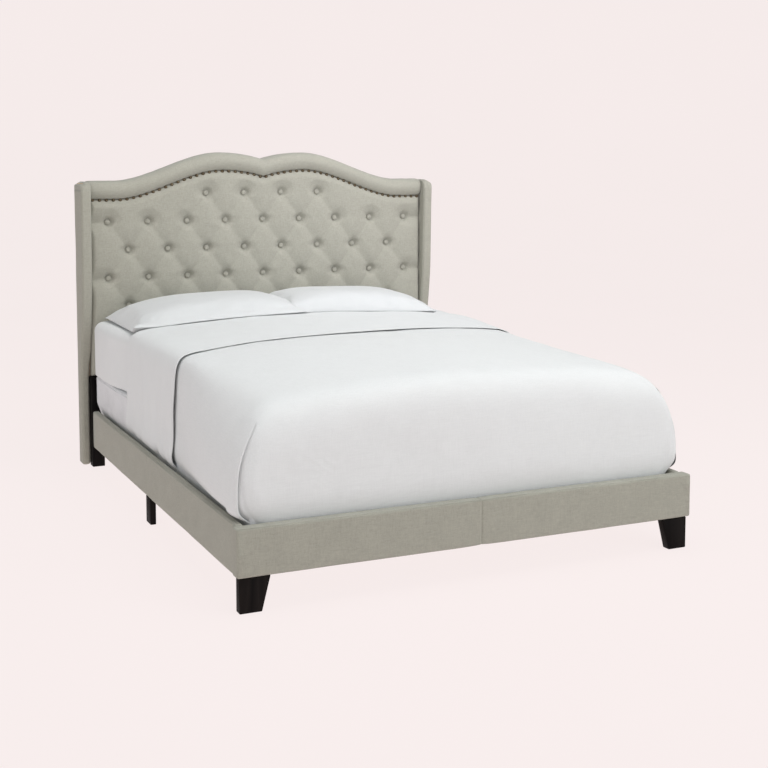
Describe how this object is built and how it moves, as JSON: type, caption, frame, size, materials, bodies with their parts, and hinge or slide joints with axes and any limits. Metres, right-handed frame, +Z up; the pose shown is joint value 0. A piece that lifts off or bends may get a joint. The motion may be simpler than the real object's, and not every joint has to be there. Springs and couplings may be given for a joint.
{
  "type": "upholstered bed",
  "caption": "Upholstered wingback bed: diamond-tufted camelback headboard with nailhead trim, padded rails, dark block legs, box spring, mattress, tucked bedding and two pillows.",
  "frame": {"origin": "on the floor under the middle of the bed's length and width", "axes": "+Z up, +Y from the foot of the bed to the headboard, +X to the right seen from the foot"},
  "size_m": [1.69, 2.18, 1.385],
  "materials": {
    "linen": "matte",
    "espresso_wood": "satin",
    "softwood": "matte",
    "plywood": "matte",
    "antique_bronze": "satin",
    "black_steel": "satin",
    "zinc_steel": "satin",
    "spring_steel": "satin",
    "black_plastic": "matte",
    "ticking": "matte",
    "white_percale": "matte",
    "white_slub_cotton": "matte",
    "white_pillowcase": "matte"
  },
  "bodies": {
    "frame": {"beam_hangers": "black_steel", "border_roll": "linen", "centre_beam": "softwood", "centre_leg_screws": "zinc_steel", "centre_legs": "espresso_wood", "foot_corner_bolts": "zinc_steel", "foot_corner_brackets": "black_steel", "foot_leg_left": "espresso_wood", "foot_leg_right": "espresso_wood", "foot_rail_board": "softwood", "foot_rail_cover": "linen", "head_bracket_bolts": "zinc_steel", "head_brackets": "black_steel", "head_leg_left": "espresso_wood", "head_leg_right": "espresso_wood", "head_leg_screws": "zinc_steel", "headboard_back_cover": "linen", "headboard_lower_cover": "linen", "headboard_panel": "plywood", "headboard_rail_bottom": "softwood", "headboard_rail_middle": "softwood", "headboard_rail_top": "softwood", "headboard_screws": "zinc_steel", "headboard_stud_left": "softwood", "headboard_stud_right": "softwood", "ledger_screws": "zinc_steel", "leg_screws": "zinc_steel", "leveller_inserts": "zinc_steel", "mid_leg_left": "espresso_wood", "mid_leg_right": "espresso_wood", "nailheads": "antique_bronze", "side_rail_board_left": "softwood", "side_rail_board_right": "softwood", "side_rail_cover_left": "linen", "side_rail_cover_right": "linen", "slat_ledgers": "softwood", "slat_screws": "zinc_steel", "slats": "softwood", "tufted_pad": "linen", "tufting_buttons": "linen", "wing_board_left": "softwood", "wing_board_right": "softwood", "wing_cover_left": "linen", "wing_cover_right": "linen", "wing_screws": "zinc_steel"},
    "box_spring": {"box_spring_cover": "ticking", "box_spring_frame": "softwood", "box_spring_coils": "spring_steel"},
    "mattress": {"mattress": "ticking", "mattress_springs": "spring_steel", "fitted_sheet": "white_percale", "coverlet": "white_slub_cotton", "flat_sheet": "white_percale"},
    "pillow_left": {"pillow_left": "white_pillowcase"},
    "pillow_right": {"pillow_right": "white_pillowcase"},
    "leveller_foot": {"leveller_foot": "black_plastic"},
    "leveller_middle": {"leveller_middle": "black_plastic"},
    "leveller_head": {"leveller_head": "black_plastic"}
  },
  "joints": [
    {"name": "box_spring_lift", "type": "slide", "parent": "frame", "child": "box_spring", "axis": [0, 0, 1], "range_m": [0, 0.15]},
    {"name": "mattress_lift", "type": "slide", "parent": "box_spring", "child": "mattress", "axis": [0, 0, 1], "range_m": [0, 0.25]},
    {"name": "pillow_left_lift", "type": "slide", "parent": "mattress", "child": "pillow_left", "axis": [0, 0, 1], "range_m": [0, 0.25]},
    {"name": "pillow_right_lift", "type": "slide", "parent": "mattress", "child": "pillow_right", "axis": [0, 0, 1], "range_m": [0, 0.25]},
    {"name": "leveller_foot_screw", "type": "slide", "parent": "frame", "child": "leveller_foot", "axis": [0, 0, 1], "range_m": [0, 0.011]},
    {"name": "leveller_middle_screw", "type": "slide", "parent": "frame", "child": "leveller_middle", "axis": [0, 0, 1], "range_m": [0, 0.011]},
    {"name": "leveller_head_screw", "type": "slide", "parent": "frame", "child": "leveller_head", "axis": [0, 0, 1], "range_m": [0, 0.011]}
  ]
}
